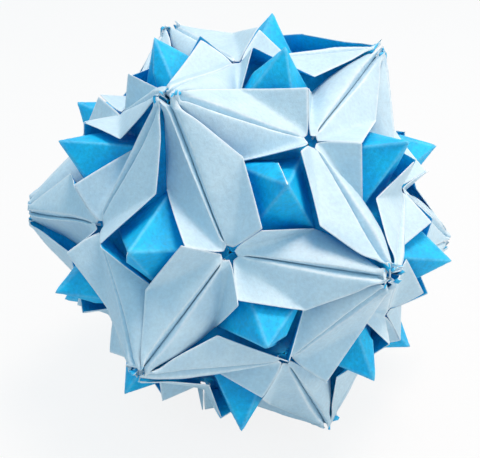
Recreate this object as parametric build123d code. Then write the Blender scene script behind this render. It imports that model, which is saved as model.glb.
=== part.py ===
from build123d import *
import math
import os

import numpy as np

# A kusudama: a hollow paper ball of thirty equal folded units, pasted edge to edge.
# Each unit lies along one edge of an icosahedron. Five units meet in each of the
# twelve spikes, and three units meet around each of the twenty small holes.
# Lengths are in millimetres and angles in degrees. Radii start at the ball's centre.

# The ball, which stands on three of the blue tips
spike_radius = 60.0
hole_radius = 46.4
apex_radius = 57.0
paper_thickness = 0.25
front_turn = 3.8

# The seam between two units: a pasted strip below, an open groove above it
paste_gap = 0.06
pasted_strip = 1.0
groove_depth = 2.0
groove_at_spike = 1.0
groove_at_bow = 1.7
groove_at_hole = 0.4
bow_from_spike = 13.0
spike_end_width = 1.3
hole_end_width = 3.6
base_spike_width = 0.7
base_hole_width = 0.9

# The window: at each spike end one flap laps over the other, which is tucked under it
lapping_corner_reach = 10.8
lapping_corner_shift = 0.5
lapping_corner_rise = 4.8
tucked_corner_reach = 11.4
tucked_corner_lift = 2.4
tucked_edge_reach = 18.5
tucked_edge_lap = 3.0
tucked_edge_lift = 1.0
hole_corner_reach = 9.7
hole_corner_shift = 1.7
hole_corner_rise = 8.3
flap_slit = 0.45

# The pyramid in the window, made by the middle of the sheet, with one pleat that opens
foot_past_spike_corner = 0.5
foot_past_hole_corner = 2.2
pleat_lift = 1.3
pleat_sink = 0.3
pleat_shift = 0.6
pleat_slit = 0.5

# The pleats open clockwise around this direction, seen from outside the ball
pleat_front = (0.0, -1.0, 0.4)

golden = (1 + math.sqrt(5)) / 2
spike_angle = math.atan(1 / golden)
hole_angle = math.atan(1 / golden**2)
up = (0, 0, 1)
down = (0, 0, -1)


def unit_vector(vector):
    """The vector at length one."""
    return vector / np.linalg.norm(vector)


def seam_line(depth, set_backs, spike_width, hole_width):
    """Three points along the seam from spike to hole: its spike end, its bow and its hole end.

    The line lies that deep under the straight line from spike to hole. Each point stands
    back by its set-back from the plane in which the two units meet. The line ends where
    the unit is as wide as the given widths."""
    spike = spike_radius * np.array([math.sin(spike_angle), 0.0, math.cos(spike_angle)])
    hole = hole_radius * np.array([0.0, math.sin(hole_angle), math.cos(hole_angle)])
    along = unit_vector(hole - spike)
    rise = unit_vector(spike - along * np.dot(spike, along))
    back = unit_vector(np.cross(rise, along))
    at_spike, at_bow, at_hole = (spike - rise * depth + back * set_back for set_back in set_backs)
    to_spike_end = (spike_width / 2 - at_spike[1]) / along[1]
    to_hole_end = (hole_width / 2 - at_hole[0]) / along[0]
    return [at_spike + along * to_spike_end, at_bow + along * bow_from_spike, at_hole + along * to_hole_end]


def seam_points():
    """The lines along the four seams: foot and top of the pasted strip, and the fold above."""
    touching = [paste_gap / 2] * 3
    grooved = [groove_at_spike / 2, groove_at_bow / 2, groove_at_hole / 2]
    lines = {
        "foot": seam_line(groove_depth + pasted_strip, touching, base_spike_width, base_hole_width),
        "strip": seam_line(groove_depth, touching, spike_end_width, hole_end_width),
        "fold": seam_line(0.0, grooved, spike_end_width, hole_end_width),
    }
    points = {}
    for x_side in (1, -1):
        for y_side in (1, -1):
            mirror = np.array([x_side, y_side, 1])
            for name, line in lines.items():
                for step, point in enumerate(line):
                    points[name, step, x_side, y_side] = point * mirror
    return points


def height_on_plane(corners, across, along):
    """The height at one spot of the plane through three corners."""
    first, second, third = corners
    normal = np.cross(second - first, third - first)
    return first[2] - (normal[0] * (across - first[0]) + normal[1] * (along - first[1])) / normal[2]


def spike_foot_point(side, base):
    """The corner of the pyramid's foot nearest to a spike."""
    return np.array([side * (tucked_corner_reach + foot_past_spike_corner), 0, base])


def flap_points(seams):
    """The corners of the flaps away from the seams, by name and by the side they lie on.

    The tucked flap's edge runs on past the middle of the unit, close above the base layer."""
    level = hole_radius * math.cos(hole_angle)
    rim = level + hole_corner_rise
    slit = flap_slit / 2
    tip_reach, _, tip_height = seams["fold", 0, 1, 1]
    mitre_reach = hole_radius * math.sin(hole_angle) - hole_end_width / 2 * math.cos(hole_angle)
    mitre_height = level + hole_end_width / 2 * math.sin(hole_angle)
    base = seams["foot", 2, 1, 1][2]
    layer_below = [seams["foot", 0, 1, 1], seams["foot", 1, 1, 1], spike_foot_point(1, base)]
    edge_height = height_on_plane(layer_below, tucked_edge_reach, tucked_edge_lap) + tucked_edge_lift
    corners = {
        "lapping tip": (tip_reach, slit, tip_height),
        "tucked tip": (tip_reach, -slit, tip_height),
        "lapping corner": (lapping_corner_reach, -lapping_corner_shift, level + lapping_corner_rise),
        "tucked corner": (tucked_corner_reach, 0, base + tucked_corner_lift),
        "tucked edge": (tucked_edge_reach, tucked_edge_lap, edge_height),
        "lapping mitre": (slit, mitre_reach, mitre_height),
        "tucked mitre": (slit, -mitre_reach, mitre_height),
        "lapping rim": (slit - hole_corner_shift, hole_corner_reach, rim),
        "tucked rim": (slit + hole_corner_shift, -hole_corner_reach, rim),
    }
    return {
        (name, side): np.array(corner) * np.array([side, side, 1])
        for name, corner in corners.items()
        for side in (1, -1)
    }


def pyramid_points(seams):
    """The apex, the four corners of the pyramid's foot, and the two lips of the pleat."""
    base = seams["foot", 2, 1, 1][2]
    hole_foot = hole_corner_reach + foot_past_hole_corner
    apex = np.array([0, 0, apex_radius])
    points = {"apex": apex}
    for side in (1, -1):
        points["spike foot", side] = spike_foot_point(side, base)
        points["hole foot", side] = np.array([0, side * hole_foot, base])
    across = points["hole foot", 1] - points["spike foot", -1]
    pleat_foot = points["spike foot", -1] + across / 2
    outward = unit_vector(np.cross(apex - pleat_foot, across))
    middle = (apex + pleat_foot) / 2 + unit_vector(across) * pleat_shift
    apart = unit_vector(across) * pleat_slit / 2
    points["pleat foot"] = pleat_foot
    points["pleat over"] = middle - apart + outward * pleat_lift
    points["pleat under"] = middle + apart - outward * pleat_sink
    return points


def seam_panels(corner):
    """The pasted strip and the side of the groove, along one seam."""
    outward = (*corner, 0)
    panels = []
    for lower, upper in (("foot", "strip"), ("strip", "fold")):
        for step in (0, 1):
            start, end = (lower, step, *corner), (lower, step + 1, *corner)
            panels.append((start, end, (upper, step + 1, *corner), outward))
            panels.append((start, (upper, step, *corner), (upper, step + 1, *corner), outward))
    return panels


def flap_panels(corner):
    """One flap, from the fold at its seam up to the window, creased towards its window corner."""
    kind = "lapping" if corner[0] == corner[1] else "tucked"
    side = corner[0]
    edge = [
        (kind + " tip", side),
        ("fold", 0, *corner),
        ("fold", 1, *corner),
        ("fold", 2, *corner),
        (kind + " mitre", side),
        (kind + " rim", side),
    ]
    window_corner = (kind + " corner", side)
    if kind == "tucked":
        edge.insert(0, ("tucked edge", side))
    return [(start, end, window_corner, up) for start, end in zip(edge, edge[1:])]


def base_panels(corner):
    """The base layer under one flap, from the pasted strip to the pyramid's foot."""
    spike_foot, hole_foot = ("spike foot", corner[0]), ("hole foot", corner[1])
    bow = ("foot", 1, *corner)
    inner_edge = [spike_foot, "pleat foot", hole_foot] if corner == (-1, 1) else [spike_foot, hole_foot]
    edge = [("foot", 0, *corner), *inner_edge, ("foot", 2, *corner)]
    return [(bow, start, end, down) for start, end in zip(edge, edge[1:])]


def pyramid_panels():
    """The pyramid's faces, one of them open along its pleat, and the base beyond its corners."""
    panels = []
    for side in (1, -1):
        panels.append((("foot", 0, side, 1), ("foot", 0, side, -1), ("spike foot", side), down))
        panels.append((("foot", 2, 1, side), ("foot", 2, -1, side), ("hole foot", side), down))
        panels.append(("apex", ("spike foot", side), ("hole foot", side), down))
    panels.append(("apex", ("spike foot", 1), ("hole foot", -1), down))
    for lip, foot in (("pleat over", ("spike foot", -1)), ("pleat under", ("hole foot", 1))):
        panels.append(("apex", lip, foot, down))
        panels.append((lip, "pleat foot", foot, down))
    return panels


def folded_sheet():
    """The corners of one folded unit on its pale side, and the flat panels between its creases.

    The unit lies across the Z axis, with a spike at each end of X and a hole at each end of Y.
    Each panel is three corners and the way that its pale side faces."""
    seams = seam_points()
    points = {**seams, **flap_points(seams), **pyramid_points(seams)}
    panels = pyramid_panels()
    for x_side in (1, -1):
        for y_side in (1, -1):
            corner = (x_side, y_side)
            panels += seam_panels(corner) + flap_panels(corner) + base_panels(corner)
    return points, panels


def triangle(first, second, third):
    """A flat three-cornered face."""
    return Face(Wire.make_polygon([Vector(*first), Vector(*second), Vector(*third)], close=True))


def thick_sheet(points, panels, thickness):
    """A closed solid: the panels, the same panels one thickness behind, and the cut edges."""
    facing = []
    for first, second, third, pale_way in panels:
        normal = np.cross(points[second] - points[first], points[third] - points[first])
        if np.dot(normal, pale_way) < 0:
            second, third, normal = third, second, -normal
        facing.append((first, second, third, unit_vector(normal)))

    behind = {}
    for name, point in points.items():
        normals = [normal for *corners, normal in facing if name in corners]
        shift = np.linalg.lstsq(np.array(normals), np.full(len(normals), -thickness), rcond=0.05)[0]
        behind[name] = point + shift

    faces = []
    edges = set()
    for first, second, third, _ in facing:
        faces.append(triangle(points[first], points[second], points[third]))
        faces.append(triangle(behind[third], behind[second], behind[first]))
        edges |= {(first, second), (second, third), (third, first)}
    for start, end in sorted(edges, key=str):
        if (end, start) not in edges:
            faces.append(triangle(points[end], points[start], behind[start]))
            faces.append(triangle(points[end], behind[start], behind[end]))
    return Solid(Shell(faces)).clean()


def spike_directions():
    """The twelve corners of an icosahedron that lies on one of its faces."""
    high = golden**2 / math.sqrt(3 * (golden**2 + 1))
    low = high / golden**3
    directions = []
    for level, level_turn in ((high, 0), (low, 180)):
        reach = math.sqrt(1 - level**2)
        for third in (0, 120, 240):
            turn = math.radians(front_turn + level_turn + third)
            corner = np.array([reach * math.cos(turn), reach * math.sin(turn), level])
            directions += [corner, -corner]
    return directions


def unit_planes():
    """One plane for each unit, from the top down: X along the unit, and Z out of the ball."""
    directions = spike_directions()
    edge_length = 2 * math.sin(spike_angle)
    planes = []
    for index, first in enumerate(directions):
        for second in directions[index + 1 :]:
            if math.isclose(np.linalg.norm(first - second), edge_length):
                outward = first + second
                clockwise = np.dot(np.cross(outward, second - first), pleat_front) < 0
                along = second - first if clockwise else first - second
                planes.append(Plane(origin=(0, 0, 0), x_dir=tuple(along), z_dir=tuple(outward)))
    planes.sort(key=lambda plane: (-round(plane.z_dir.Z, 3), math.atan2(plane.z_dir.Y, plane.z_dir.X)))
    return planes


unit = thick_sheet(*folded_sheet(), paper_thickness)
ball = [unit.moved(plane.location) for plane in unit_planes()]
floor_level = min(folded.bounding_box().min.Z for folded in ball)

os.makedirs("parts", exist_ok=True)
for number, folded in enumerate(ball, start=1):
    export_step(folded.moved(Location((0, 0, -floor_level))), f"parts/unit_{number:02d}.step")
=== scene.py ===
import math

import bpy
import numpy as np
from mathutils import Matrix, Vector
from mathutils.geometry import delaunay_2d_cdt


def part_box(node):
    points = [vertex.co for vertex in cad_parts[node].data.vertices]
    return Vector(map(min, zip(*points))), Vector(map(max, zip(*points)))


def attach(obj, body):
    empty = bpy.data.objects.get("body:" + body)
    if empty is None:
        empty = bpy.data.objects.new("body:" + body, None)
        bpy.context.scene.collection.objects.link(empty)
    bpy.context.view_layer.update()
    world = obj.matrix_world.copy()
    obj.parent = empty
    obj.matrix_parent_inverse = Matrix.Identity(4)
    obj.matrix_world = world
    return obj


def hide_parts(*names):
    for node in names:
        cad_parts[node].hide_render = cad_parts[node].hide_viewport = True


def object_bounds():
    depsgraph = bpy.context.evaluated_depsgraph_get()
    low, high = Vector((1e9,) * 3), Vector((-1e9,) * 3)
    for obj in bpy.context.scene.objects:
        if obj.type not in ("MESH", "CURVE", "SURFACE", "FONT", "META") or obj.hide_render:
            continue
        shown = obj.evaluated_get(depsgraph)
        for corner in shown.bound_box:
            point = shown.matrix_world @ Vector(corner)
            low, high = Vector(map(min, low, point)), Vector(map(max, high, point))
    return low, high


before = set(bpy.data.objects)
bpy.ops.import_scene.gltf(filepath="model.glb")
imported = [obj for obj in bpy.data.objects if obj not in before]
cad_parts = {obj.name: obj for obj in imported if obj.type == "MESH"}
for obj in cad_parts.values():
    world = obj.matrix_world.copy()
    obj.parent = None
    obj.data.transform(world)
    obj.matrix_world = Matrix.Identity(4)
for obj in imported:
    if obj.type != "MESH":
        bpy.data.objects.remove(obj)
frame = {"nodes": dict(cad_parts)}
cad_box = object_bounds()

# A hollow paper ball of thirty folded units. Each unit is one two-tone sheet, pale on the
# side of its flaps and blue on the side of its pyramid. Lengths are in millimetres in each
# unit's own place: Z out of the ball, X from spike to spike. They turn into metres at the end.
METRE = 0.001

# The ball
spike_radius = 60.0
hole_radius = 46.4
apex_radius = 57.0
front_turn = 3.8
pleat_front = (0.0, -1.0, 0.4)

# The seam between two units
paste_gap = 0.06
pasted_strip = 1.0
groove_depth = 2.0
groove_at_spike = 1.2
groove_at_bow = 2.0
groove_at_hole = 0.4
bow_from_spike = 13.0
spike_end_width = 1.3
hole_end_width = 3.6
base_spike_width = 0.7
base_hole_width = 0.9

# The window and the pyramid in it
lapping_corner_reach = 10.8
lapping_corner_shift = 0.5
lapping_corner_rise = 4.8
tucked_corner_reach = 11.4
tucked_corner_lift = 2.4
tucked_edge_reach = 18.5
tucked_edge_lap = 1.4
tucked_edge_lift = 0.5
hole_corner_reach = 9.7
hole_corner_shift = 1.7
hole_corner_rise = 8.3
flap_slit = 0.45
foot_past_spike_corner = 0.5
foot_past_hole_corner = 2.2
pleat_lift = 1.5
pleat_sink = 0.3
pleat_shift = 0.6
pleat_slit = 0.5

# The paper: how thick it is, how widely it bends at each kind of fold, and how wide the paler band at its
# shown edges, folds and ridges is, partly worn colour and partly painted highlight
paper_thickness = 0.25
lapping_fold_reach = 1.5
tucked_fold_reach = 1.0
lapping_crease_reach = 1.3
tucked_crease_reach = 0.9
ridge_reach = 0.4
hidden_fold_reach = 0.35
edge_reach = 0.12
open_reach = 12.0
reach_growth = 0.8
wear_and_highlight_width = 0.32
least_wear_and_highlight = 0.5

# The small forms that hands give the paper: how far each moves it at full strength, and the
# least and the most share of that in one unit
hand_forms = {
    "roll": (0.22, 0.6, 1.3),
    "curl": (0.75, 0.3, 1.3),
    "valley": (0.14, 0.3, 1.4),
    "hole": (0.9, 0.7, 1.2),
    "belly": (1.6, 0.7, 1.2),
    "median": (0.6, -1.0, 1.0),
}

# Where those forms lie on a flap, and how wide they are
roll_width = 0.9
curl_width = 1.3
curl_from_tip = 3.4
curl_length = 2.2
curl_rise = 0.8
valley_from_fold = 2.1
valley_width = 0.9
valley_end_width = 5.0
hole_curl_width = 1.0
belly_from_crease = 3.0
belly_from_tip = 9.0

# The crumpled ends of the units at the spikes
crumple_reach = 1.7
crumple_length = 2.6
crumple_strength = 1.3
crumple_spread = 0.3

# How far the named corners stray from one unit to the next, along X, Y and Z
corner_spreads = {
    "lapping corner": (0.35, 0.25, 0.45),
    "tucked corner": (0.3, 0.15, 0.45),
    "lapping rim": (0.2, 0.3, 0.35),
    "tucked rim": (0.2, 0.3, 0.35),
    "apex": (0.5, 0.5, 0.4),
    "pleat over": (0.2, 0.2, 0.3),
    "pleat under": (0.1, 0.1, 0.15),
}
most_spreads = 1.6

# The slow unevenness of the whole ball
wave_length = 70.0
wave_strength = 0.35
box_margin = 0.02

# The photograph's view: where its camera stands, in radii of the ball, and how it is turned
view_place = (0.05993, -3.23851, 1.67097)
view_forward = (-0.02471, 0.88573, -0.46354)
view_right = (0.99904, 0.00510, -0.04352)
view_lens = 59.0

# Where the ball in the photograph leans away from an even one: a direction from its centre,
# and how far the paper there lies to the right and upwards in the view
leans = (
    ((-0.27, -0.54, 0.80), (0.1, 1.9)),
    ((0.61, 0.04, 0.79), (0.7, 0.5)),
    ((0.55, -0.82, 0.19), (0.2, -0.8)),
    ((-0.98, -0.07, 0.19), (-1.2, -2.8)),
    ((-0.34, 0.50, 0.80), (-0.3, 1.8)),
    ((0.98, 0.07, -0.19), (0.0, 1.3)),
    ((-0.07, -0.94, 0.33), (-0.6, 0.3)),
    ((0.37, -0.55, 0.75), (-0.8, 0.3)),
    ((-0.71, -0.63, 0.33), (-2.5, 0.2)),
    ((-0.73, -0.36, 0.58), (-0.2, 1.4)),
    ((-0.41, -0.84, 0.36), (-0.7, -0.7)),
    ((0.16, -0.80, 0.58), (1.0, 0.0)),
    ((0.07, -1.00, 0.00), (0.4, -0.9)),
    ((-0.83, -0.56, 0.00), (1.5, -0.3)),
    ((0.93, 0.06, 0.36), (-2.0, 0.0)),
    ((0.16, 0.32, 0.94), (-0.5, 0.8)),
    ((-0.77, -0.40, -0.50), (1.8, 0.6)),
    ((-0.93, 0.05, 0.37), (-1.2, 0.8)),
)
lean_width = 0.34

# The lapping flaps that stand higher there: the direction of the window corner, and how much
lifts = (
    ((0.0, -0.72, 0.7), 1.6),
    ((-0.36, -0.75, 0.55), 1.8),
    ((0.32, -0.84, 0.43), 1.2),
    ((0.35, 0.21, 0.92), 4.6),
    ((-0.04, 0.41, 0.92), 2.6),
)
lift_width = 0.16

# The tucked flaps whose belly is flatter there, or a hollow: the direction of the window
# corner, and the share of the belly that is left
hollows = (
    ((-0.36, -0.73, 0.58), -0.6),
    ((-0.04, -0.71, 0.71), 0.3),
    ((0.36, -0.84, 0.41), 0.3),
    ((-0.54, -0.46, 0.71), 0.3),
    ((-0.94, -0.34, 0.09), -1.0),
)
same_corner = 0.02

# The pyramids whose apex lies elsewhere there, told in the same way as the leans
apex_leans = (((-0.41, -0.84, 0.36), (0.9, -1.0)),)
apex_width = 0.1

# How fine the mesh is beside a fold, how much coarser it grows, and its coarsest
finest = 0.45
growth = 0.45
coarsest = 1.8
samples_per_edge = 4
least_samples = 8

# The grid inside a panel: where it starts, how far it stays from the outline, and how much
# closer than wanted its spots may be, in shares of the edge length
grid_shift = 0.31
outline_share = 0.4
outline_spacing = 0.8
least_spacing = 0.72

# The rounds of averaging that bend the mesh, and how far a vertex moves in each
most_turns = 14
turn_share = 0.5

# The paper's grain: its features to the metre, and how high they stand in metres
cloud_scale = 160.0
mottle_scale = 1100.0
fibre_scale = 4200.0
mottle_height = 0.00016
fibre_height = 0.00008

lamp_distance = 0.9

golden = (1 + math.sqrt(5)) / 2
spike_angle = math.atan(1 / golden)
hole_angle = math.atan(1 / golden**2)


def unit_vector(vector):
    """The vector at length one."""
    return vector / np.linalg.norm(vector)


def angle_between(first, second):
    """The angle between two directions."""
    return np.arccos(np.clip(np.dot(unit_vector(first), unit_vector(np.array(second))), -1, 1))


def hump(distance, width):
    """One at no distance, falling away smoothly within about the width."""
    return np.exp(-((distance / width) ** 2))


def distance_to_line(places, start, end):
    """How far each place is from the straight line between two points."""
    along = end - start
    share = np.clip((places - start) @ along / (along @ along), 0, 1)
    return np.linalg.norm(places - start - share[:, None] * along, axis=1)


def seam_line(depth, set_backs, spike_width, hole_width):
    """Three points along the seam, from spike to hole, that deep under its ridge."""
    spike = spike_radius * np.array([math.sin(spike_angle), 0.0, math.cos(spike_angle)])
    hole = hole_radius * np.array([0.0, math.sin(hole_angle), math.cos(hole_angle)])
    along = unit_vector(hole - spike)
    rise = unit_vector(spike - along * np.dot(spike, along))
    back = unit_vector(np.cross(rise, along))
    at_spike, at_bow, at_hole = (spike - rise * depth + back * set_back for set_back in set_backs)
    to_spike_end = (spike_width / 2 - at_spike[1]) / along[1]
    to_hole_end = (hole_width / 2 - at_hole[0]) / along[0]
    return [at_spike + along * to_spike_end, at_bow + along * bow_from_spike, at_hole + along * to_hole_end]


def seam_points():
    """The lines along the four seams: foot and top of the pasted strip, and the fold above."""
    touching = [paste_gap / 2] * 3
    grooved = [groove_at_spike / 2, groove_at_bow / 2, groove_at_hole / 2]
    lines = {
        "foot": seam_line(groove_depth + pasted_strip, touching, base_spike_width, base_hole_width),
        "strip": seam_line(groove_depth, touching, spike_end_width, hole_end_width),
        "fold": seam_line(0.0, grooved, spike_end_width, hole_end_width),
    }
    points = {}
    for x_side in (1, -1):
        for y_side in (1, -1):
            mirror = np.array([x_side, y_side, 1])
            for name, line in lines.items():
                for step, point in enumerate(line):
                    points[name, step, x_side, y_side] = point * mirror
    return points


def height_on_plane(corners, across, along):
    """The height at one spot of the plane through three corners."""
    first, second, third = corners
    normal = np.cross(second - first, third - first)
    return first[2] - (normal[0] * (across - first[0]) + normal[1] * (along - first[1])) / normal[2]


def spike_foot_point(side, base):
    """The corner of the pyramid's foot nearest to a spike."""
    return np.array([side * (tucked_corner_reach + foot_past_spike_corner), 0, base])


def flap_points(seams):
    """The corners of the flaps away from the seams, by name and by the side they lie on.

    The tucked flap's edge runs on past the middle of the unit, close above the base layer."""
    level = hole_radius * math.cos(hole_angle)
    rim = level + hole_corner_rise
    slit = flap_slit / 2
    tip_reach, _, tip_height = seams["fold", 0, 1, 1]
    mitre_reach = hole_radius * math.sin(hole_angle) - hole_end_width / 2 * math.cos(hole_angle)
    mitre_height = level + hole_end_width / 2 * math.sin(hole_angle)
    base = seams["foot", 2, 1, 1][2]
    layer_below = [seams["foot", 0, 1, 1], seams["foot", 1, 1, 1], spike_foot_point(1, base)]
    edge_height = height_on_plane(layer_below, tucked_edge_reach, tucked_edge_lap) + tucked_edge_lift
    corners = {
        "lapping tip": (tip_reach, slit, tip_height),
        "tucked tip": (tip_reach, -slit, tip_height),
        "lapping corner": (lapping_corner_reach, -lapping_corner_shift, level + lapping_corner_rise),
        "tucked corner": (tucked_corner_reach, 0, base + tucked_corner_lift),
        "tucked edge": (tucked_edge_reach, tucked_edge_lap, edge_height),
        "lapping mitre": (slit, mitre_reach, mitre_height),
        "tucked mitre": (slit, -mitre_reach, mitre_height),
        "lapping rim": (slit - hole_corner_shift, hole_corner_reach, rim),
        "tucked rim": (slit + hole_corner_shift, -hole_corner_reach, rim),
    }
    return {
        (name, side): np.array(corner) * np.array([side, side, 1])
        for name, corner in corners.items()
        for side in (1, -1)
    }


def pyramid_points(seams):
    """The apex, the four corners of the pyramid's foot, and the two lips of the pleat."""
    base = seams["foot", 2, 1, 1][2]
    hole_foot = hole_corner_reach + foot_past_hole_corner
    apex = np.array([0, 0, apex_radius])
    points = {("apex",): apex}
    for side in (1, -1):
        points["spike foot", side] = spike_foot_point(side, base)
        points["hole foot", side] = np.array([0, side * hole_foot, base])
    across = points["hole foot", 1] - points["spike foot", -1]
    pleat_foot = points["spike foot", -1] + across / 2
    outward = unit_vector(np.cross(apex - pleat_foot, across))
    middle = (apex + pleat_foot) / 2 + unit_vector(across) * pleat_shift
    apart = unit_vector(across) * pleat_slit / 2
    points["pleat foot",] = pleat_foot
    points["pleat over",] = middle - apart + outward * pleat_lift
    points["pleat under",] = middle + apart - outward * pleat_sink
    return points


def sheet_points():
    """Every named corner of one folded unit, on the pale side of its sheet."""
    seams = seam_points()
    return {**seams, **flap_points(seams), **pyramid_points(seams)}


def seam_panels(corner):
    """The pasted strip and the side of the groove, along one seam."""
    outward = (*corner, 0)
    panels = []
    for lower, upper in (("foot", "strip"), ("strip", "fold")):
        for step in (0, 1):
            start, end = (lower, step, *corner), (lower, step + 1, *corner)
            panels.append((start, end, (upper, step + 1, *corner), outward))
            panels.append((start, (upper, step, *corner), (upper, step + 1, *corner), outward))
    return panels


def flap_panels(corner):
    """One flap, from the fold at its seam up to the window, creased towards its window corner."""
    kind = "lapping" if corner[0] == corner[1] else "tucked"
    side = corner[0]
    edge = [
        (kind + " tip", side),
        ("fold", 0, *corner),
        ("fold", 1, *corner),
        ("fold", 2, *corner),
        (kind + " mitre", side),
        (kind + " rim", side),
    ]
    window_corner = (kind + " corner", side)
    if kind == "tucked":
        edge.insert(0, ("tucked edge", side))
    return [(start, end, window_corner, (0, 0, 1)) for start, end in zip(edge, edge[1:])]


def base_panels(corner):
    """The base layer under one flap, from the pasted strip to the pyramid's foot."""
    edge = [("foot", 0, *corner), ("spike foot", corner[0]), ("hole foot", corner[1]), ("foot", 2, *corner)]
    if corner == (-1, 1):
        edge.insert(2, ("pleat foot",))
    return [(("foot", 1, *corner), start, end, (0, 0, -1)) for start, end in zip(edge, edge[1:])]


def pyramid_panels():
    """The pyramid's faces, one of them open along its pleat, and the base beyond its corners."""
    apex, down = ("apex",), (0, 0, -1)
    panels = []
    for side in (1, -1):
        panels.append((("foot", 0, side, 1), ("foot", 0, side, -1), ("spike foot", side), down))
        panels.append((("foot", 2, 1, side), ("foot", 2, -1, side), ("hole foot", side), down))
        panels.append((apex, ("spike foot", side), ("hole foot", side), down))
    panels.append((apex, ("spike foot", 1), ("hole foot", -1), down))
    for lip, foot in ((("pleat over",), ("spike foot", -1)), (("pleat under",), ("hole foot", 1))):
        panels.append((apex, lip, foot, down))
        panels.append((lip, ("pleat foot",), foot, down))
    return panels


def sheet_panels(points):
    """The flat panels of one unit, each with its corners in turn round its pale side."""
    panels = pyramid_panels()
    for x_side in (1, -1):
        for y_side in (1, -1):
            corner = (x_side, y_side)
            panels += seam_panels(corner) + flap_panels(corner) + base_panels(corner)
    turned = []
    for first, second, third, pale_way in panels:
        normal = np.cross(points[second] - points[first], points[third] - points[first])
        turned.append((first, second, third) if np.dot(normal, pale_way) > 0 else (first, third, second))
    return turned


def bend_reach(first, second):
    """How widely the paper bends along the line between two named corners, or None on a smooth one."""
    kinds = {first[0], second[0]}
    ends_at_hole = any(name[0].endswith("mitre") or name[:2] == ("fold", 2) for name in (first, second))
    if kinds == {"fold"}:
        return lapping_fold_reach if first[2] == first[3] else tucked_fold_reach
    if "lapping corner" in kinds:
        return lapping_crease_reach if ends_at_hole else None
    if "tucked corner" in kinds:
        return tucked_crease_reach if ends_at_hole else None
    if "apex" in kinds:
        return ridge_reach
    if kinds <= {"strip", "foot", "spike foot", "hole foot", "pleat foot"} and len(kinds) < 3:
        return hidden_fold_reach
    return None


def outline_keys(panel):
    """The lines round a panel, each with the corner that it starts from there.

    A line has the same key from both of its panels."""
    return [(tuple(sorted(ends, key=str)), ends[0]) for ends in zip(panel, panel[1:] + panel[:1])]


def grid_spots(low, size):
    """A triangular grid over a rectangle: two places, and how coarse a grid the spot belongs to."""
    row_height = math.sqrt(0.75)
    spots = []
    for j in range(int(size[1] / (finest * row_height)) + 1):
        for i in range(-j // 2 - 1, int(size[0] / finest) + 2):
            spot = low + finest * np.array([i + j / 2, j * row_height]) + grid_shift * finest
            spots.append((*spot, math.gcd(i, j, 4)))
    return np.array(spots)


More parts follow.
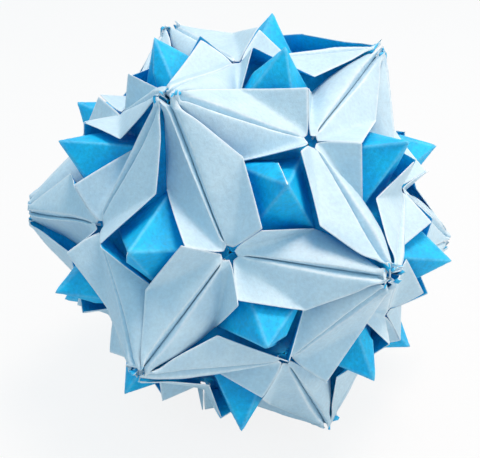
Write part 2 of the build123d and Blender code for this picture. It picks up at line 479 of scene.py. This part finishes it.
class FineSheet:
    """One unit's sheet as a fine mesh, whose vertices are shares of the named corners."""

    def __init__(self, points):
        self.names = list(points)
        self.order = {name: index for index, name in enumerate(self.names)}
        self.corners = np.array([points[name] for name in self.names])
        self.panels = sheet_panels(points)
        self.lines = {}
        for panel in self.panels:
            for key, _ in outline_keys(panel):
                self.lines[key] = self.lines.get(key, 0) + 1
        self.rows = [[(index, 1.0)] for index in range(len(self.names))]
        self.on_line = {}
        self.faces = []
        self.face_panel = []
        for key in self.lines:
            self.divide_line(key)
        for index, panel in enumerate(self.panels):
            self.divide_panel(index, panel)
        self.shares = np.zeros((len(self.rows), len(self.names)))
        for row, parts in enumerate(self.rows):
            for index, share in parts:
                self.shares[row, index] += share
        self.faces = np.array(self.faces)
        self.face_panel = np.array(self.face_panel)

    def feature_distance(self, places):
        """How far each place is from the nearest fold or edge that shows."""
        nearest = np.full(len(places), np.inf)
        for (first, second), uses in self.lines.items():
            shown = uses == 1 or first[0] == second[0] == "fold" or "apex" in (first[0], second[0])
            crease = {first[0], second[0]} in ({"lapping corner", "fold"}, {"tucked corner", "fold"})
            if shown or (crease and bend_reach(first, second)):
                start, end = self.corners[self.order[first]], self.corners[self.order[second]]
                nearest = np.minimum(nearest, distance_to_line(places, start, end))
        return nearest

    def target(self, places):
        """The edge length wanted at each place."""
        return np.clip(finest + growth * (self.feature_distance(places) - finest), finest, coarsest)

    def vertex_place(self, vertex):
        """Where a vertex lies, from its shares of the corners."""
        return sum(share * self.corners[index] for index, share in self.rows[vertex])

    def divide_line(self, key):
        """Divides one line between two corners, so that the panels beside it share its vertices."""
        first, second = (self.order[name] for name in key)
        start, end = self.corners[first], self.corners[second]
        length = np.linalg.norm(end - start)
        samples = np.linspace(0, 1, max(least_samples, int(length / finest) * samples_per_edge))
        density = 1 / self.target(start + samples[:, None] * (end - start))
        passed = np.cumsum((density[1:] + density[:-1]) / 2 * np.diff(samples) * length)
        steps = np.concatenate([[0], passed])
        count = max(1, round(steps[-1]))
        shares = np.interp(np.linspace(0, steps[-1], count + 1)[1:-1], steps, samples)
        vertices = []
        for share in shares:
            vertices.append(len(self.rows))
            self.rows.append([(first, 1 - share), (second, share)])
        self.on_line[key] = [first, *vertices, second]

    def divide_panel(self, index, panel):
        """Fills one flat panel with triangles: small ones beside the folds, larger ones between."""
        outline = []
        for key, start in outline_keys(panel):
            run = self.on_line[key]
            outline += (run if key[0] == start else run[::-1])[:-1]
        base = np.array([self.corners[self.order[name]] for name in panel])
        across = unit_vector(base[1] - base[0])
        facing = np.cross(base[1] - base[0], base[2] - base[0])
        up = np.cross(unit_vector(facing), across)
        flat = np.stack([(base - base[0]) @ across, (base - base[0]) @ up], axis=1)
        grid = grid_spots(flat.min(0), flat.max(0) - flat.min(0))
        to_share = np.linalg.inv(np.vstack([flat.T, np.ones(3)]))
        shares = np.column_stack([grid[:, :2], np.ones(len(grid))]) @ to_share.T
        keep = self.well_placed(shares, base, grid[:, 2] * finest)
        spots = []
        for vertex in outline:
            reach = self.vertex_place(vertex) - base[0]
            spots.append(Vector((reach @ across, reach @ up)))
        spots += [Vector(spot[:2]) for spot in grid[keep]]
        numbers = list(outline)
        for share in shares[keep]:
            numbers.append(len(self.rows))
            self.rows.append([(self.order[name], value) for name, value in zip(panel, share)])
        count = len(outline)
        edges = [(k, (k + 1) % count) for k in range(count)]
        _, _, triangles, origins, _, _ = delaunay_2d_cdt(spots, edges, [list(range(count))], 1, 1e-6)
        for triangle in triangles:
            self.faces.append(tuple(numbers[origins[vertex][0]] for vertex in triangle))
            self.face_panel.append(index)

    def well_placed(self, shares, base, spacing):
        """Which spots lie inside the panel, clear of its outline, on a grid about as fine as wanted."""
        wanted = self.target(shares @ base)
        double_area = np.linalg.norm(np.cross(base[1] - base[0], base[2] - base[0]))
        sides = np.array([np.linalg.norm(base[(k + 2) % 3] - base[(k + 1) % 3]) for k in range(3)])
        from_outline = (shares * double_area / sides).min(1)
        clear = from_outline > outline_share * np.maximum(wanted, spacing * outline_spacing)
        return clear & (spacing > wanted * least_spacing)


class Bending:
    """Bends the fine mesh: narrow at the folds, wide in the open facets."""

    def __init__(self, sheet):
        self.sheet = sheet
        self.count = len(sheet.shares)
        self.flat = sheet.shares @ sheet.corners
        self.find_edges()
        self.measure_folds()
        self.inner_turns = self.turns(self.edges, self.reach)
        self.rim_turns = self.turns(self.rim_edges, self.rim_reach())
        apex = sheet.order["apex",]
        self.inner_turns[apex] = 0
        self.rim_turns[apex] = 0

    def find_edges(self):
        """The edges of the mesh, and those on the sheet's rim, which only one triangle uses."""
        faces = self.sheet.faces
        directed = np.concatenate([faces[:, [0, 1]], faces[:, [1, 2]], faces[:, [2, 0]]])
        code = directed.min(1) * self.count + directed.max(1)
        _, first_use, uses = np.unique(code, return_index=True, return_counts=True)
        self.edges = directed[first_use]
        self.rim_edges = directed[first_use[uses == 1]]
        self.on_rim = np.zeros(self.count, bool)
        self.on_rim[self.rim_edges.ravel()] = True

    def measure_folds(self):
        """How widely the paper bends at each vertex, and how near it is to an edge, fold or ridge painted
        paler: partly wear, partly painted highlight.
        """
        corners, order = self.sheet.corners, self.sheet.order
        self.reach = np.full(self.count, open_reach)
        self.wear_and_highlight = np.zeros(self.count)
        self.ridge = np.zeros(self.count)
        for (start, end), uses in self.sheet.lines.items():
            reach = edge_reach if uses == 1 else bend_reach(start, end)
            if reach is None:
                continue
            distance = distance_to_line(self.flat, corners[order[start]], corners[order[end]])
            self.reach = np.minimum(self.reach, reach + reach_growth * distance)
            # Shown edges and folds, and the pyramid's ridges, are marked to be painted paler: partly wear,
            # partly painted highlight
            worn_and_lit = hump(distance, wear_and_highlight_width)
            hidden = {start[0], end[0]} <= {"foot", "strip", "spike foot", "hole foot"}
            if (uses == 1 and not hidden) or start[0] == end[0] == "fold":
                self.wear_and_highlight = np.maximum(self.wear_and_highlight, worn_and_lit)
            elif "apex" in (start[0], end[0]):
                self.ridge = np.maximum(self.ridge, worn_and_lit)

    def rim_reach(self):
        """How widely the rim bends at each vertex: hardly at a named corner, more between them."""
        nearest = np.full(self.count, np.inf)
        for corner in self.sheet.corners:
            nearest = np.minimum(nearest, np.linalg.norm(self.flat - corner, axis=1))
        return edge_reach + reach_growth * nearest

    def turns(self, edges, reach):
        """How many rounds of averaging each vertex takes part in."""
        lengths = np.linalg.norm(self.flat[edges[:, 0]] - self.flat[edges[:, 1]], axis=1)
        ends = edges.ravel()
        total = np.bincount(ends, np.repeat(lengths, 2), self.count)
        number = np.maximum(np.bincount(ends, minlength=self.count), 1)
        return np.minimum((reach / np.maximum(total / number, finest / 2)) ** 2, most_turns)

    def averaged(self, places, edges):
        """Each vertex at the middle of its neighbours along the given edges."""
        number = np.maximum(np.bincount(edges.ravel(), minlength=self.count), 1)
        sums = np.stack(
            [
                np.bincount(edges[:, 0], places[edges[:, 1], axis], self.count)
                + np.bincount(edges[:, 1], places[edges[:, 0], axis], self.count)
                for axis in range(3)
            ],
            axis=1,
        )
        return sums / number[:, None]

    def bend(self, corners, moves):
        """The bent sheet, from the corners of one unit and the small moves of its vertices."""
        places = self.sheet.shares @ corners + moves
        for turn in range(most_turns):
            strength = turn_share * np.clip(self.inner_turns - turn, 0, 1) * ~self.on_rim
            rim_strength = turn_share * np.clip(self.rim_turns - turn, 0, 1) * self.on_rim
            inner = self.averaged(places, self.edges) - places
            rim = self.averaged(places, self.rim_edges) - places
            places = places + strength[:, None] * inner + rim_strength[:, None] * rim
        return places


class Relief:
    """The small forms on the panels: rolled rims, curled lips, bellies, valleys and soft creases."""

    def __init__(self, sheet):
        self.sheet = sheet
        self.flat = sheet.shares @ sheet.corners
        self.flaps = [self.flap_forms(kind, side) for kind in ("lapping", "tucked") for side in (1, -1)]
        self.medians = [self.median_form(x_side, y_side) for x_side in (1, -1) for y_side in (1, -1)]

    def place(self, *name):
        """Where a named corner lies."""
        return self.sheet.corners[self.sheet.order[name]]

    def members(self, *names):
        """One for each vertex of a panel that has one of the named corners, and nought for the rest."""
        chosen = [any(name in panel for name in names) for panel in self.sheet.panels]
        inside = np.zeros(len(self.flat))
        inside[self.sheet.faces[np.array(chosen)[self.sheet.face_panel]].ravel()] = 1
        return inside[:, None]

    def flap_forms(self, kind, side):
        """The moves of one flap at full strength, by name, and its window corner."""
        lapping = kind == "lapping"
        corner = (side, side if lapping else -side)
        tip, window = self.place(kind + " tip", side), self.place(kind + " corner", side)
        mitre, rim = self.place(kind + " mitre", side), self.place(kind + " rim", side)
        spike, bow, hole = (self.place("fold", step, *corner) for step in range(3))
        out = unit_vector(np.cross(window - bow, hole - bow))
        out *= np.sign(out[2])
        edge = unit_vector(window - tip)
        away = unit_vector(np.cross(edge, out))
        away *= np.sign(np.dot(away, bow - tip))
        inside = self.members((kind + " corner", side))
        ends = self.members((kind + " corner", side), *(("strip", step, *corner) for step in range(3)))
        from_lip = distance_to_line(self.flat, tip, window)
        from_rim = distance_to_line(self.flat, window, rim)
        if lapping:
            from_rim = np.minimum(from_lip, from_rim)
        from_fold = distance_to_line(self.flat, spike, hole)
        from_hole = distance_to_line(self.flat, hole, mitre)
        from_tip = np.linalg.norm(self.flat - (tip + spike) / 2, axis=1)
        from_curl = (self.flat - tip) @ edge - curl_from_tip
        curled = hump(from_lip, curl_width) * hump(from_curl, curl_length) * lapping
        open_fold = 1 - hump(from_hole, valley_end_width) - hump(from_tip, valley_end_width)
        sunk = hump(from_fold - valley_from_fold, valley_width) * np.clip(open_fold, 0, 1)
        swollen = self.belly_share(corner, from_fold, from_tip) * (not lapping)
        return {
            "corner": window,
            "roll": inside * -out * hump(from_rim, roll_width)[:, None],
            "curl": inside * (away + curl_rise * out) * curled[:, None],
            "valley": inside * -out * sunk[:, None],
            "hole": ends * -out * hump(from_hole, hole_curl_width)[:, None],
            "tip": ends * hump(from_tip, crumple_reach)[:, None],
            "belly": inside * out * swollen[:, None],
        }

    def belly_share(self, corner, from_fold, from_tip):
        """How far a tucked flap swells between its seam and its hidden edge, from nought to one."""
        side = corner[0]
        tip, hidden = self.place("tucked tip", side), self.place("tucked edge", side)
        window, hole = self.place("tucked corner", side), self.place("fold", 2, *corner)
        from_hidden = distance_to_line(self.flat, tip, hidden)
        from_hidden = np.minimum(from_hidden, distance_to_line(self.flat, hidden, window))
        share = from_fold / np.maximum(from_fold + from_hidden, 1e-6)
        from_crease = distance_to_line(self.flat, window, hole)
        fade = np.clip(from_crease / belly_from_crease, 0, 1) * np.clip(from_tip / belly_from_tip, 0, 1)
        spike_end = self.members(("fold", 1, *corner), ("tucked edge", side))[:, 0]
        return 4 * share * (1 - share) * fade * spike_end

    def median_form(self, x_side, y_side):
        """A crease from the apex down the middle of one face of the pyramid, at full strength."""
        apex = self.place("apex")
        spike, hole = self.place("spike foot", x_side), self.place("hole foot", y_side)
        out = unit_vector(np.cross(spike - apex, hole - apex))
        out *= np.sign(out[2])
        from_median = distance_to_line(self.flat, apex, (spike + hole) / 2)
        outline = ((apex, spike), (apex, hole), (spike, hole))
        from_outline = np.min([distance_to_line(self.flat, start, end) for start, end in outline], axis=0)
        share = from_outline / np.maximum(from_outline + from_median, 1e-6)
        on_face = (self.flat[:, 0] * x_side > 0) & (self.flat[:, 1] * y_side > 0)
        return self.members(("apex",)) * out * (share * on_face)[:, None]

    def moves(self, random, axes):
        """How far each vertex of one unit moves, with every form at its own strength."""
        total = np.zeros_like(self.flat)
        crumple = slow_wave(random, crumple_length, crumple_strength)
        for forms in self.flaps:
            for name in ("roll", "curl", "valley", "hole"):
                distance, least, most = hand_forms[name]
                total += forms[name] * distance * random.uniform(least, most)
            total += forms["tip"] * (crumple(self.flat) + random.normal(0, crumple_spread, 3))
            distance, least, most = hand_forms["belly"]
            swelling = distance * random.uniform(least, most) * belly_left(forms["corner"], axes)
            total += forms["belly"] * swelling
        distance, least, most = hand_forms["median"]
        for form in self.medians:
            total += form * distance * random.uniform(least, most)
        return total


def belly_left(corner, axes):
    """The share of a tucked flap's belly that is left, by its window corner."""
    for direction, share in hollows:
        if angle_between(corner @ axes, direction) < same_corner:
            return share
    return 1.0


def varied_corners(sheet, random):
    """The corners of one unit, each a little off its place, as hands fold them."""
    corners = sheet.corners.copy()
    for index, name in enumerate(sheet.names):
        if name[0] in corner_spreads:
            stray = np.clip(random.normal(0, 1, 3), -most_spreads, most_spreads)
            corners[index] += stray * corner_spreads[name[0]]
    apex = corners[sheet.order["apex",]]
    apex[2] = min(apex[2], apex_radius)
    return corners


def spike_directions():
    """The twelve corners of an icosahedron that lies on one of its faces."""
    high = golden**2 / math.sqrt(3 * (golden**2 + 1))
    low = high / golden**3
    directions = []
    for level, level_turn in ((high, 0), (low, 180)):
        reach = math.sqrt(1 - level**2)
        for third in (0, 120, 240):
            turn = math.radians(front_turn + level_turn + third)
            corner = np.array([reach * math.cos(turn), reach * math.sin(turn), level])
            directions += [corner, -corner]
    return directions


def unit_axes():
    """The X, Y and Z axes of each unit: X along the unit, and Z out of the ball."""
    directions = spike_directions()
    edge_length = 2 * math.sin(spike_angle)
    found = []
    for index, first in enumerate(directions):
        for second in directions[index + 1 :]:
            if math.isclose(np.linalg.norm(first - second), edge_length):
                outward = unit_vector(first + second)
                clockwise = np.dot(np.cross(outward, second - first), pleat_front) < 0
                along = unit_vector(second - first if clockwise else first - second)
                found.append(np.array([along, np.cross(outward, along), outward]))
    return found


def named_node(axes, centre):
    """The frame's node that lies where a unit with these axes lies."""
    outward = Vector(axes[2]).normalized()

    def agreement(node):
        low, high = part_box(node)
        return ((low + high) / 2 - centre).normalized().dot(outward)

    return max(frame["nodes"], key=agreement)


def slow_wave(random, length, strength):
    """A smooth shift of every place in the ball, so that neighbours move together."""
    count = 4
    ways = random.normal(0, 1, (count, 3))
    ways /= np.linalg.norm(ways, axis=1)[:, None]
    lengths = random.uniform(0.8, 1.4, count) * length
    phases = random.uniform(0, 2 * math.pi, count)
    pushes = random.normal(0, 1, (count, 3)) * strength

    def shift(places):
        waves = np.sin(places @ ways.T * 2 * math.pi / lengths + phases)
        return waves @ pushes / math.sqrt(count)

    return shift


def view_push(to_right, upwards):
    """A push to the right and upwards in the photograph's view."""
    right = np.array(view_right)
    return right * to_right + np.cross(right, view_forward) * upwards


def leaning(places):
    """How far each place in the ball is shifted by the leans."""
    ways = places / np.linalg.norm(places, axis=1)[:, None]
    total = np.zeros_like(places)
    for way, (to_right, upwards) in leans:
        angle = np.arccos(np.clip(ways @ unit_vector(np.array(way)), -1, 1))
        total += hump(angle, lean_width)[:, None] * view_push(to_right, upwards)
    return total


def lift_flaps(corners, sheet, axes):
    """Raises the window edges of the lapping flaps that stand higher."""
    for index, name in enumerate(sheet.names):
        if name[0] in ("lapping corner", "lapping rim"):
            for direction, rise in lifts:
                angle = angle_between(sheet.corners[index] @ axes, direction)
                corners[index][2] += rise * hump(angle, lift_width)


def lean_apex(corners, sheet, axes):
    """Moves the apex, and the pleat half as far, in the units where it lies elsewhere."""
    for direction, (to_right, upwards) in apex_leans:
        push = view_push(to_right, upwards) @ axes.T * hump(angle_between(axes[2], direction), apex_width)
        for name, share in (("apex", 1.0), ("pleat over", 0.5), ("pleat under", 0.5)):
            corners[sheet.order[name,]] += push * share


def summed_ways(vectors, numbers, count):
    """The direction at each vertex, from the vectors of the triangles or edges that it is in."""
    total = np.zeros((count, 3))
    for column in range(numbers.shape[1]):
        for axis in range(3):
            total[:, axis] += np.bincount(numbers[:, column], vectors[:, axis], count)
    return total / np.maximum(np.linalg.norm(total, axis=1), 1e-12)[:, None]


def closed_sheet(places, faces, rim):
    """The vertices and triangles of the paper in its thickness, with a rounded edge.

    The front comes first, then the back, then the middle of the edge."""
    count = len(places)
    first, second, third = (places[faces[:, column]] for column in range(3))
    normals = summed_ways(np.cross(second - first, third - first), faces, count)
    behind = places - normals * paper_thickness
    run = places[rim[:, 1]] - places[rim[:, 0]]
    outward = summed_ways(np.cross(run, normals[rim[:, 0]] + normals[rim[:, 1]]), rim, count)
    middle = (places + behind) / 2 + outward * paper_thickness / 2
    rim_vertices = np.unique(rim)
    middle_number = np.full(count, -1)
    middle_number[rim_vertices] = np.arange(len(rim_vertices)) + 2 * count
    start, end = rim[:, 0], rim[:, 1]
    mid_start, mid_end = middle_number[start], middle_number[end]
    triangles = np.concatenate(
        [
            faces,
            faces[:, ::-1] + count,
            np.column_stack([end, start, mid_start]),
            np.column_stack([end, mid_start, mid_end]),
            np.column_stack([mid_end, mid_start, start + count]),
            np.column_stack([mid_end, start + count, end + count]),
        ]
    )
    return np.concatenate([places, behind, middle[rim_vertices]]), triangles


def paper_piece(name, places, sheet, bending, low, high):
    """One two-sided sheet, kept between two corners of a box: pale in front, and blue behind.

    Its edge is pale where it shows, worn and painted with highlight, and blue where it is hidden."""
    rim = bending.rim_edges
    vertices, triangles = closed_sheet(places, sheet.faces, rim)
    vertices = np.clip(vertices, low, high)
    hidden_edge = bending.wear_and_highlight[rim].max(1) < least_wear_and_highlight
    side = np.repeat([0, 1], len(sheet.faces))
    is_blue = np.concatenate([side, np.tile(hidden_edge, 4)]).astype(np.int32)
    mesh = bpy.data.meshes.new(name)
    mesh.vertices.add(len(vertices))
    mesh.vertices.foreach_set("co", (vertices * METRE).astype(np.float32).ravel())
    mesh.loops.add(len(triangles) * 3)
    mesh.loops.foreach_set("vertex_index", triangles.astype(np.int32).ravel())
    mesh.polygons.add(len(triangles))
    mesh.polygons.foreach_set("loop_start", np.arange(len(triangles), dtype=np.int32) * 3)
    mesh.polygons.foreach_set("material_index", is_blue)
    mesh.update(calc_edges=True)
    mesh.shade_smooth()
    for label, values in (("wear_and_highlight", bending.wear_and_highlight), ("ridge", bending.ridge)):
        attribute = mesh.attributes.new(label, "FLOAT", "POINT")
        full = np.concatenate([values, values, values[np.unique(rim)]])
        attribute.data.foreach_set("value", full.astype(np.float32))
    piece = bpy.data.objects.new(name, mesh)
    bpy.context.scene.collection.objects.link(piece)
    return piece


def node(tree, kind, place, **settings):
    """A shader node with its settings and plain input values."""
    made = tree.nodes.new(kind)
    made.location = place
    for key, value in settings.items():
        if key.startswith("in_"):
            made.inputs[key[3:].replace("_", " ")].default_value = value
        else:
            setattr(made, key, value)
    return made


def noise(tree, place, scale, detail, roughness):
    """A noise texture in the object's own metres."""
    where = node(tree, "ShaderNodeTexCoord", (place[0] - 200, place[1]))
    made = node(tree, "ShaderNodeTexNoise", place, in_Scale=scale, in_Detail=detail, in_Roughness=roughness)
    tree.links.new(where.outputs["Object"], made.inputs["Vector"])
    return made.outputs["Fac"]


def mixed(tree, place, amount, first, second, blend="MIX"):
    """A mix of two colours; each is a socket or a colour, and so is the amount."""
    made = node(tree, "ShaderNodeMix", place, data_type="RGBA", blend_type=blend)
    for socket, value in ((made.inputs[0], amount), (made.inputs[6], first), (made.inputs[7], second)):
        if isinstance(value, bpy.types.NodeSocket):
            tree.links.new(value, socket)
        else:
            socket.default_value = value
    return made.outputs[2]


def ranged(tree, place, value, low, high, to_low, to_high):
    """A value moved from one range to another."""
    made = node(tree, "ShaderNodeMapRange", place)
    for index, number in enumerate((low, high, to_low, to_high), start=1):
        made.inputs[index].default_value = number
    tree.links.new(value, made.inputs[0])
    return made.outputs[0]


def wear_and_highlight_share(tree, mottle, wear_and_highlight_strength, ridge_wear_and_highlight_strength):
    """How much paler the paper is at its edges, folds and ridges, in patches: partly wear, partly painted
    highlight.
    """
    wear_and_highlight = node(tree, "ShaderNodeAttribute", (-900, 600), attribute_name="wear_and_highlight")
    ridge = node(tree, "ShaderNodeAttribute", (-900, 800), attribute_name="ridge")
    patch_strength = ranged(tree, (-750, 600), mottle, 0.3, 0.7, 0.55, 1.0)
    both = node(tree, "ShaderNodeMath", (-600, 700), operation="MULTIPLY_ADD")
    tree.links.new(ridge.outputs["Fac"], both.inputs[0])
    both.inputs[1].default_value = ridge_wear_and_highlight_strength / wear_and_highlight_strength
    tree.links.new(wear_and_highlight.outputs["Fac"], both.inputs[2])
    patchy = node(tree, "ShaderNodeMath", (-450, 600), operation="MULTIPLY", use_clamp=True)
    tree.links.new(both.outputs[0], patchy.inputs[0])
    tree.links.new(patch_strength, patchy.inputs[1])
    return ranged(tree, (-300, 600), patchy.outputs[0], 0.0, 1.0, 0.0, wear_and_highlight_strength)


def paper_material(name, colour, deep, worn_and_lit, wear_and_highlight_strength, ridge_wear_and_highlight_strength, grain_depth, gloss):
    """Matt craft paper: soft mottling, fine fibres, and paler edges, folds and ridges, partly worn colour
    and partly painted highlight.
    """
    material = bpy.data.materials.new(name)
    material.use_nodes = True
    tree = material.node_tree
    shader = tree.nodes["Principled BSDF"]
    clouds = noise(tree, (-900, 300), cloud_scale, 3.0, 0.5)
    mottle = noise(tree, (-900, 0), mottle_scale, 4.0, 0.6)
    fibres = noise(tree, (-900, -300), fibre_scale, 3.0, 0.65)
    tone = mixed(tree, (-600, 300), ranged(tree, (-750, 300), clouds, 0.35, 0.65, 0.0, 1.0), colour, deep)
    grain = ranged(tree, (-750, 0), mottle, 0.3, 0.7, 1 - grain_depth, 1 + 0.6 * grain_depth)
    grained = mixed(tree, (-450, 200), 1.0, tone, grain, "MULTIPLY")
    # The shown edges, folds and ridges are painted paler here: partly worn colour, partly painted highlight
    amount = wear_and_highlight_share(tree, mottle, wear_and_highlight_strength, ridge_wear_and_highlight_strength)
    tree.links.new(mixed(tree, (-200, 300), amount, grained, worn_and_lit), shader.inputs["Base Color"])
    tree.links.new(ranged(tree, (-450, -100), mottle, 0.3, 0.7, 0.42, 0.60), shader.inputs["Roughness"])
    shader.inputs["Specular IOR Level"].default_value = gloss
    fine_bump = node(tree, "ShaderNodeBump", (-300, -300), in_Strength=0.5, in_Distance=fibre_height)
    tree.links.new(fibres, fine_bump.inputs["Height"])
    bump = node(tree, "ShaderNodeBump", (-100, -300), in_Strength=0.6, in_Distance=mottle_height)
    tree.links.new(mottle, bump.inputs["Height"])
    tree.links.new(fine_bump.outputs["Normal"], bump.inputs["Normal"])
    tree.links.new(bump.outputs["Normal"], shader.inputs["Normal"])
    return material


def from_srgb(red, green, blue):
    """A colour as a screen shows it, from 0 to 255, turned into light."""
    shares = [value / 255 for value in (red, green, blue)]
    light = [share / 12.92 if share <= 0.04045 else ((share + 0.055) / 1.055) ** 2.4 for share in shares]
    return (*light, 1.0)


def lamp(name, direction, size, watts, colour, aim):
    """A soft square lamp that shines on the ball from one direction."""
    data = bpy.data.lights.new(name, "AREA")
    data.color = colour
    data.size = size
    data.energy = watts
    made = bpy.data.objects.new(name, data)
    way = Vector(direction).normalized()
    made.location = aim + way * lamp_distance
    made.rotation_euler = (-way).to_track_quat("-Z", "Y").to_euler()
    bpy.context.scene.collection.objects.link(made)


def make_world(colour, from_below, from_above):
    """A plain studio: white behind the ball, and a soft light on it that grows upwards."""
    world = bpy.data.worlds.new("studio")
    world.use_nodes = True
    tree = world.node_tree
    tree.nodes.clear()
    path = node(tree, "ShaderNodeLightPath", (-600, 200))
    seen = node(tree, "ShaderNodeMath", (-400, 200), operation="ADD", use_clamp=True)
    tree.links.new(path.outputs["Is Camera Ray"], seen.inputs[0])
    tree.links.new(path.outputs["Is Glossy Ray"], seen.inputs[1])
    way = node(tree, "ShaderNodeTexCoord", (-800, 0))
    parts = node(tree, "ShaderNodeSeparateXYZ", (-600, 0))
    tree.links.new(way.outputs["Generated"], parts.inputs[0])
    strength = ranged(tree, (-400, 0), parts.outputs["Z"], -0.3, 1.0, from_below, from_above)
    light = node(tree, "ShaderNodeBackground", (-200, 0), in_Color=(*colour, 1))
    tree.links.new(strength, light.inputs["Strength"])
    white = node(tree, "ShaderNodeBackground", (-200, -150), in_Color=(1, 1, 1, 1), in_Strength=1.0)
    mix = node(tree, "ShaderNodeMixShader", (0, 0))
    output = node(tree, "ShaderNodeOutputWorld", (200, 0))
    tree.links.new(seen.outputs[0], mix.inputs[0])
    tree.links.new(light.outputs[0], mix.inputs[1])
    tree.links.new(white.outputs[0], mix.inputs[2])
    tree.links.new(mix.outputs[0], output.inputs[0])
    bpy.context.scene.world = world


def make_floor(half_width, grey, white_share):
    """A plain pale floor that keeps the ball's soft shadow, and looks nearly white itself."""
    mesh = bpy.data.meshes.new("floor")
    corners = [(x * half_width, y * half_width, 0) for x, y in ((-1, -1), (1, -1), (1, 1), (-1, 1))]
    mesh.from_pydata(corners, [], [(0, 1, 2, 3)])
    floor = bpy.data.objects.new("floor", mesh)
    bpy.context.scene.collection.objects.link(floor)
    material = bpy.data.materials.new("floor_white")
    material.use_nodes = True
    tree = material.node_tree
    shader = tree.nodes["Principled BSDF"]
    shader.inputs["Base Color"].default_value = (grey, grey, grey, 1)
    shader.inputs["Roughness"].default_value = 0.9
    glow = node(tree, "ShaderNodeEmission", (0, -300), in_Color=(1, 1, 1, 1), in_Strength=1.0)
    path = node(tree, "ShaderNodeLightPath", (-200, 300))
    share = node(tree, "ShaderNodeMath", (0, 300), operation="MULTIPLY")
    share.inputs[1].default_value = white_share
    tree.links.new(path.outputs["Is Camera Ray"], share.inputs[0])
    mix = node(tree, "ShaderNodeMixShader", (200, 0))
    tree.links.new(share.outputs[0], mix.inputs[0])
    tree.links.new(shader.outputs[0], mix.inputs[1])
    tree.links.new(glow.outputs[0], mix.inputs[2])
    tree.links.new(mix.outputs[0], tree.nodes["Material Output"].inputs["Surface"])
    mesh.materials.append(material)


def make_camera(centre):
    """The photograph's view: from the front, a little above, close enough for some perspective."""
    place = Vector(view_place) * spike_radius * METRE
    forward, right = Vector(view_forward), Vector(view_right)
    above = right.cross(forward)
    data = bpy.data.cameras.new("camera")
    data.sensor_width = 36.0
    data.lens = view_lens
    data.clip_start = 0.01
    camera = bpy.data.objects.new("camera", data)
    turn = Matrix((right, above, -forward)).transposed().to_4x4()
    camera.matrix_world = Matrix.Translation(centre + place) @ turn
    bpy.context.scene.collection.objects.link(camera)
    bpy.context.scene.camera = camera


# The ball's centre is the middle of the frame's box
centre = (cad_box[0] + cad_box[1]) / 2

# The lightest colour of each paper paints its shown edges, folds and ridges: partly wear, partly painted
# highlight
pale = paper_material(
    "pale_paper",
    colour=from_srgb(202, 230, 244),
    deep=from_srgb(192, 223, 240),
    worn_and_lit=from_srgb(244, 250, 254),
    wear_and_highlight_strength=0.6,
    ridge_wear_and_highlight_strength=0.3,
    grain_depth=0.08,
    gloss=0.5,
)
blue = paper_material(
    "blue_paper",
    colour=from_srgb(18, 200, 251),
    deep=from_srgb(8, 183, 243),
    worn_and_lit=from_srgb(160, 226, 250),
    wear_and_highlight_strength=0.3,
    ridge_wear_and_highlight_strength=0.3,
    grain_depth=0.18,
    gloss=0.3,
)

# The thirty units, each the same sheet with its own small differences
sheet = FineSheet(sheet_points())
bending = Bending(sheet)
relief = Relief(sheet)
low = np.array(cad_box[0]) / METRE + box_margin
high = np.array(cad_box[1]) / METRE - box_margin
random = np.random.default_rng(30)
wave = slow_wave(random, wave_length, wave_strength)
for axes in unit_axes():
    standing_for = named_node(axes, centre)
    corners = varied_corners(sheet, random)
    lift_flaps(corners, sheet, axes)
    lean_apex(corners, sheet, axes)
    places = bending.bend(corners, relief.moves(random, axes)) @ axes
    places = places + wave(places) + leaning(places) + np.array(centre) / METRE
    piece = paper_piece("paper_" + standing_for, places, sheet, bending, low, high)
    piece.data.materials.append(pale)
    piece.data.materials.append(blue)
    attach(piece, "root")
    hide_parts(standing_for)

# A warm lamp overhead, a low one at the side, and bluish light from all round
make_world((0.54, 0.83, 1.0), from_below=0.16, from_above=0.96)
make_floor(3.0, grey=0.75, white_share=0.86)
lamp("key", (0.26, 0.0, 0.97), size=0.3, watts=6.2, colour=(1.0, 0.71, 0.55), aim=centre)
lamp("side", (0.88, -0.33, 0.34), size=0.35, watts=2.2, colour=(1.0, 0.76, 0.60), aim=centre)
make_camera(centre)
bpy.context.scene.view_settings.view_transform = "Standard"
